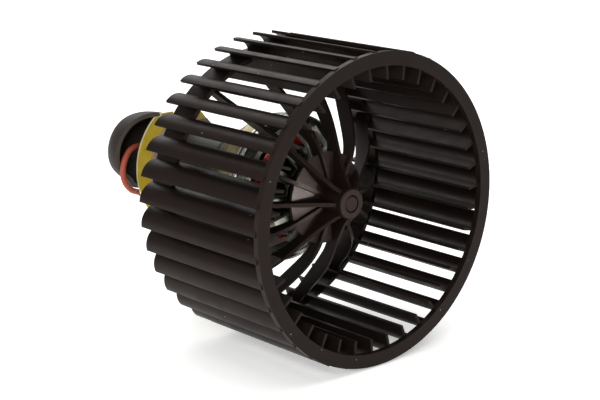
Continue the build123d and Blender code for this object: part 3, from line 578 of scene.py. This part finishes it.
def sinteredFerrite():
    # pressed and fired ferrite: charcoal ceramic, dry and faintly granular
    material, shader, place = newFinish("sinteredFerrite", IOR=1.9)
    grains = addNode(material, "ShaderNodeTexNoise", {"Scale": perMillimetre(0.6), "Detail": 5.0},
                     {"Vector": place})
    tone = addNode(material, "ShaderNodeMix",
                   {"data_type": "RGBA", 6: toLinear("#2b2b2c"), 7: toLinear("#454547")},
                   {0: grains.outputs["Fac"]})
    join(material, tone.outputs[2], shader, "Base Color")
    rough = addNode(material, "ShaderNodeMapRange", {"To Min": 0.55, "To Max": 0.75},
                    {"Value": grains.outputs["Fac"]})
    join(material, rough.outputs[0], shader, "Roughness")
    relief = addNode(material, "ShaderNodeBump", {"Strength": 0.25, "Distance": 0.05 * mm},
                     {"Height": grains.outputs["Fac"]})
    join(material, relief.outputs[0], shader, "Normal")
    return material


slotEdges = {
    "facing": 0.6,        # how far a punched edge looks round the shaft
    "roughness": 0.45,
}


def chromatedCapSteel():
    # deep-drawn steel end cap in glossy yellow-green chromate: it mirrors the dark blades, turns
    # pale over the floor, and the punched walls of its slots are painted near-white: bare cut
    # steel, and partly a painted highlight
    material, shader, place = newFinish("chromatedCapSteel", Metallic=1.0)
    filmAndSheen = addNode(material, "ShaderNodeTexNoise",
                   {"Scale": perMillimetre(8), "Detail": 4.0, "Distortion": 1.2},
                   {"Vector": place})
    share = addNode(material, "ShaderNodeMapRange", {"From Min": 0.35, "From Max": 0.65},
                    {"Value": filmAndSheen.outputs["Fac"]})
    tone = addNode(material, "ShaderNodeMix",
                   {"data_type": "RGBA", 6: toLinear("#7f817e"), 7: toLinear("#a3a38c")},
                   {0: share.outputs[0]})
    turned = addNode(material, "ShaderNodeVectorMath",
                     {"operation": "CROSS_PRODUCT", 0: (1.0, 0.0, 0.0)}, {1: place})
    aroundShaft = addNode(material, "ShaderNodeVectorMath", {"operation": "NORMALIZE"},
                          {0: turned.outputs[0]})
    facing = addNode(material, "ShaderNodeTexCoord").outputs["Normal"]
    lean = addNode(material, "ShaderNodeVectorMath", {"operation": "DOT_PRODUCT"},
                   {0: aroundShaft.outputs[0], 1: facing})
    leanEitherWay = addNode(material, "ShaderNodeMath", {"operation": "ABSOLUTE"},
                            {0: lean.outputs["Value"]})
    # the slot walls are painted near-white: bare cut steel, with a painted highlight for the
    # glints along the slots' edges
    bareEdgeAndHighlight = addNode(material, "ShaderNodeMath",
                      {"operation": "GREATER_THAN", 1: slotEdges["facing"]},
                      {0: leanEitherWay.outputs[0]})
    colour = addNode(material, "ShaderNodeMix", {"data_type": "RGBA", 7: toLinear("#f4f3ef")},
                     {0: bareEdgeAndHighlight.outputs[0], 6: tone.outputs[2]})
    join(material, colour.outputs[2], shader, "Base Color")
    smooth = addNode(material, "ShaderNodeMapRange", {"To Min": 0.16, "To Max": 0.28},
                     {"Value": filmAndSheen.outputs["Fac"]})
    edgeRough = addNode(material, "ShaderNodeMath",
                        {"operation": "MULTIPLY", 1: slotEdges["roughness"]},
                        {0: bareEdgeAndHighlight.outputs[0]})
    rough = addNode(material, "ShaderNodeMath", {"operation": "MAXIMUM"},
                    {0: smooth.outputs[0], 1: edgeRough.outputs[0]})
    join(material, rough.outputs[0], shader, "Roughness")
    drawn = addNode(material, "ShaderNodeTexNoise", {"Scale": perMillimetre(5), "Detail": 2.0},
                    {"Vector": place})
    edge = addNode(material, "ShaderNodeBevel", {"samples": 4, "Radius": 0.3 * mm})
    relief = addNode(material, "ShaderNodeBump", {"Strength": 0.2, "Distance": 0.2 * mm},
                     {"Height": drawn.outputs["Fac"], "Normal": edge.outputs[0]})
    join(material, relief.outputs[0], shader, "Normal")
    return material


def pressedCarbon():
    # electrographite brush: dark grey with a slight metallic bloom, sawn faces
    material, shader, place = newFinish("pressedCarbon", Metallic=0.25)
    bloom = addNode(material, "ShaderNodeTexNoise", {"Scale": perMillimetre(0.8), "Detail": 4.0},
                    {"Vector": place})
    tone = addNode(material, "ShaderNodeMix",
                   {"data_type": "RGBA", 6: toLinear("#242424"), 7: toLinear("#3b3b3c")},
                   {0: bloom.outputs["Fac"]})
    join(material, tone.outputs[2], shader, "Base Color")
    rough = addNode(material, "ShaderNodeMapRange", {"To Min": 0.45, "To Max": 0.65},
                    {"Value": bloom.outputs["Fac"]})
    join(material, rough.outputs[0], shader, "Roughness")
    return material


finishOf = {
    mouldedPolyamide: ["fan_wheel"],
    groundSteel: ["rotor_shaft", "thrust_washer_front", "thrust_washer_rear"],
    stampedLaminations: ["armature_core", "flux_ring"],
    enamelledCopper: ["armature_winding"],
    pressedFibre: ["insulator_front", "insulator_rear"],
    phenolicMoulding: ["commutator_core", "brush_housing"],
    turnedCopper: ["commutator_bars"],
    yellowPassivatedZinc: ["mounting_plate"],
    closedCellFoam: ["plate_gasket"],
    brightZincPlate: ["plate_screws", "hood_screws", "can_screws"],
    grainedMoulding: ["cooling_hood"],
    redInsulation: ["lead"],
    tinnedBrass: ["lead_terminal", "terminal_rivet", "terminal_blades"],
    sinteredBronze: ["front_bearing", "rear_bearing"],
    brightPressedSteel: ["joint_ring", "front_bearing_retainer", "rear_bearing_retainer",
                         "magnet_clip_upper", "magnet_clip_lower", "brush_spring_upper",
                         "brush_spring_lower"],
    rolledBrass: ["brush_tube_upper", "brush_tube_lower"],
    dulledZincCan: ["motor_can"],
    sinteredFerrite: ["magnet_left", "magnet_right"],
    chromatedCapSteel: ["front_cap"],
    pressedCarbon: ["brush_upper", "brush_lower"],
}

finishes = {}
for makeFinish, nodeNames in finishOf.items():
    finish = makeFinish()
    finishes[finish.name] = finish
    for nodeName in nodeNames:
        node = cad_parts[nodeName]
        node.data.materials.clear()
        node.data.materials.append(finish)
print("finishes", len(finishes))


# Coil ends: loops of red wire that lap over one another round the rotor's front end

coilEnds = {
    "count": 12,
    "middle": (81.6, 0.0, 16.6),   # mm, centre of the first loop
    "loopRadius": 7.2,             # mm, innermost strand
    "wireRadius": 0.5,             # mm, drawn coarser than real wire so that the strands show
    "segments": (40, 8),           # round the loop and round the wire
    "step": 0.95,                  # mm from strand to strand
    "layers": 3,
    "stretch": 1.2,                # along the rotor's circumference
    "lean": 17.0,                  # degrees, so that each loop laps over the next
}


def makeCoilEnds(coil):
    middle = Vector(coil["middle"]) * mm
    step = coil["step"] * mm
    loopSegments, wireSegments = coil["segments"]
    bpy.ops.mesh.primitive_torus_add(
        major_segments=loopSegments, minor_segments=wireSegments,
        location=middle, rotation=(0, math.pi / 2, 0),
        major_radius=coil["loopRadius"] * mm, minor_radius=coil["wireRadius"] * mm)
    first = bpy.context.object
    first.name = "coil_end_1"
    bpy.ops.object.mode_set(mode="EDIT")
    bpy.ops.mesh.select_all(action="SELECT")
    bpy.ops.transform.resize(value=(1.0, coil["stretch"], 1.0), center_override=middle)
    size = coil["loopRadius"] * mm
    for layer in range(coil["layers"]):
        bpy.ops.mesh.duplicate()                         # the strand beside the last one
        bpy.ops.transform.translate(value=(step if layer % 2 == 0 else -step, 0, 0))
        if layer < coil["layers"] - 1:
            bpy.ops.mesh.duplicate()                     # the strand round it
            grow = (size + step) / size
            size += step
            bpy.ops.transform.resize(value=(1.0, grow, grow), center_override=middle)
    bpy.ops.mesh.select_all(action="SELECT")
    bpy.ops.transform.rotate(value=math.radians(coil["lean"]), orient_axis="Z",
                             center_override=middle)
    bpy.ops.mesh.normals_make_consistent(inside=False)
    bpy.ops.object.mode_set(mode="OBJECT")
    bpy.ops.object.transform_apply(location=True, rotation=True, scale=True)
    bpy.ops.object.shade_smooth()
    first.data.materials.append(finishes["enamelledCopper"])
    for number in range(coil["count"]):
        loop = first
        if number:
            loop = first.copy()
            loop.data = first.data.copy()
            loop.name = f"coil_end_{number + 1}"
            loop.data.transform(Matrix.Rotation(number * 2 * math.pi / coil["count"], 4, "X"))
            scene.collection.objects.link(loop)
        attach(loop, "rotor")
    bpy.ops.object.select_all(action="DESELECT")


makeCoilEnds(coilEnds)
print("coil ends", coilEnds["count"])


# Brush springs: copies of the CAD springs, their loose triangles merged and smooth-shaded,
# carried with the housing

brushSprings = {
    "wire": "bright_steel",
    "seat": (33.5, 19.1),       # mm, along the shaft and out from it
    "shortest": 0.553,          # of the length at rest
    "mergeWithin": 0.002,       # mm, joins the CAD mesh's loose triangles
    "smoothAngle": 40,          # degrees
    "sides": {"upper": 1, "lower": -1},
}


def makeBrushSprings(springs):
    for word, side in springs["sides"].items():
        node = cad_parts[f"brush_spring_{word}"]
        spring = bpy.data.objects.new(f"brush_coil_{word}", node.data.copy())
        scene.collection.objects.link(spring)
        bpy.ops.object.select_all(action="DESELECT")
        spring.select_set(True)
        bpy.context.view_layer.objects.active = spring
        bpy.ops.object.mode_set(mode="EDIT")
        bpy.ops.mesh.select_all(action="SELECT")
        bpy.ops.mesh.remove_doubles(threshold=springs["mergeWithin"] * mm)
        bpy.ops.object.mode_set(mode="OBJECT")
        bpy.ops.object.shade_smooth_by_angle(angle=math.radians(springs["smoothAngle"]))
        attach(spring, "housing")
        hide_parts(f"brush_spring_{word}")
        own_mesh(spring)
    bpy.ops.object.select_all(action="DESELECT")


makeBrushSprings(brushSprings)
print("brush springs", len(brushSprings["sides"]))


# Floor and light

studio = {
    "floorHeight": cadLow.z - 0.4 * mm,  # just clear of the wheel
    "floorSize": 9.0,                    # metres
    "floorColours": ("#f4f4f3", "#fbfbfa"),
    "floorGlow": 0.42,                   # white sheet lit from behind
    "worldColour": "#ffffff",
    "worldStrength": 0.29,
    "backdropStrength": 0.93,            # what the eye sees past the floor's edge
    "skylight": {"strength": 1.5, "spread": 70, "from": (0.0, 0.05, 1.0)},   # spread in degrees
    # name: place, what it looks at, size in metres, watts, beam in degrees
    "lamps": {
        "leftBox": ((-0.45, -0.95, 0.55), (0.04, 0.0, 0.0), 0.7, 0.9, 180),
        "besideCamera": ((0.62, -0.66, 0.36), (0.05, 0.0, 0.0), 0.35, 4.0, 180),
        "lowCard": ((0.40, 0.045, -0.048), (0.107, -0.016, 0.0), 0.05, 0.015, 20),
        "behindTop": ((-0.62, 0.34, 0.62), (0.04, 0.0, 0.03), 0.8, 2.9, 180),
    },
}


def paleFloor(setup):
    # matt seamless paper on a light table: off-white, barely mottled, shadows stay faint
    bpy.ops.mesh.primitive_plane_add(size=setup["floorSize"],
                                     location=(0, 0, setup["floorHeight"]))
    floor = bpy.context.object
    floor.name = "paleFloor"
    material, shader, place = newFinish("seamlessPaper", Roughness=0.9,
                                        Emission_Strength=setup["floorGlow"])
    mottle = addNode(material, "ShaderNodeTexNoise", {"Scale": perMillimetre(60)},
                     {"Vector": place})
    low, high = setup["floorColours"]
    tone = addNode(material, "ShaderNodeMix",
                   {"data_type": "RGBA", 6: toLinear(low), 7: toLinear(high)},
                   {0: mottle.outputs["Fac"]})
    join(material, tone.outputs[2], shader, "Base Color")
    shader.inputs["Emission Color"].default_value = toLinear(high)
    floor.data.materials.append(material)


def lightStudio(setup):
    world = bpy.data.worlds.new("studioWorld")
    world.use_nodes = True
    sky = world.node_tree.nodes["Background"]
    sky.inputs["Color"].default_value = toLinear(setup["worldColour"])
    seen = world.node_tree.nodes.new("ShaderNodeLightPath")
    strength = world.node_tree.nodes.new("ShaderNodeMapRange")
    strength.inputs["To Min"].default_value = setup["worldStrength"]
    strength.inputs["To Max"].default_value = setup["backdropStrength"]
    world.node_tree.links.new(seen.outputs["Is Camera Ray"], strength.inputs["Value"])
    world.node_tree.links.new(strength.outputs[0], sky.inputs["Strength"])
    scene.world = world
    sun = setup["skylight"]
    data = bpy.data.lights.new("skylight", "SUN")
    data.energy, data.angle = sun["strength"], math.radians(sun["spread"])
    lamp = bpy.data.objects.new("skylight", data)
    scene.collection.objects.link(lamp)
    lamp.rotation_euler = (-Vector(sun["from"])).to_track_quat("-Z", "Y").to_euler()
    for name, (place, target, size, watts, beam) in setup["lamps"].items():
        data = bpy.data.lights.new(name, "AREA")
        data.shape, data.size, data.energy = "DISK", size, watts
        data.spread = math.radians(beam)
        lamp = bpy.data.objects.new(name, data)
        scene.collection.objects.link(lamp)
        lamp.location = place
        aim = Vector(target) - Vector(place)
        lamp.rotation_euler = aim.to_track_quat("-Z", "Y").to_euler()
    scene.view_settings.view_transform = "Standard"


paleFloor(studio)
lightStudio(studio)
print("studio ready")
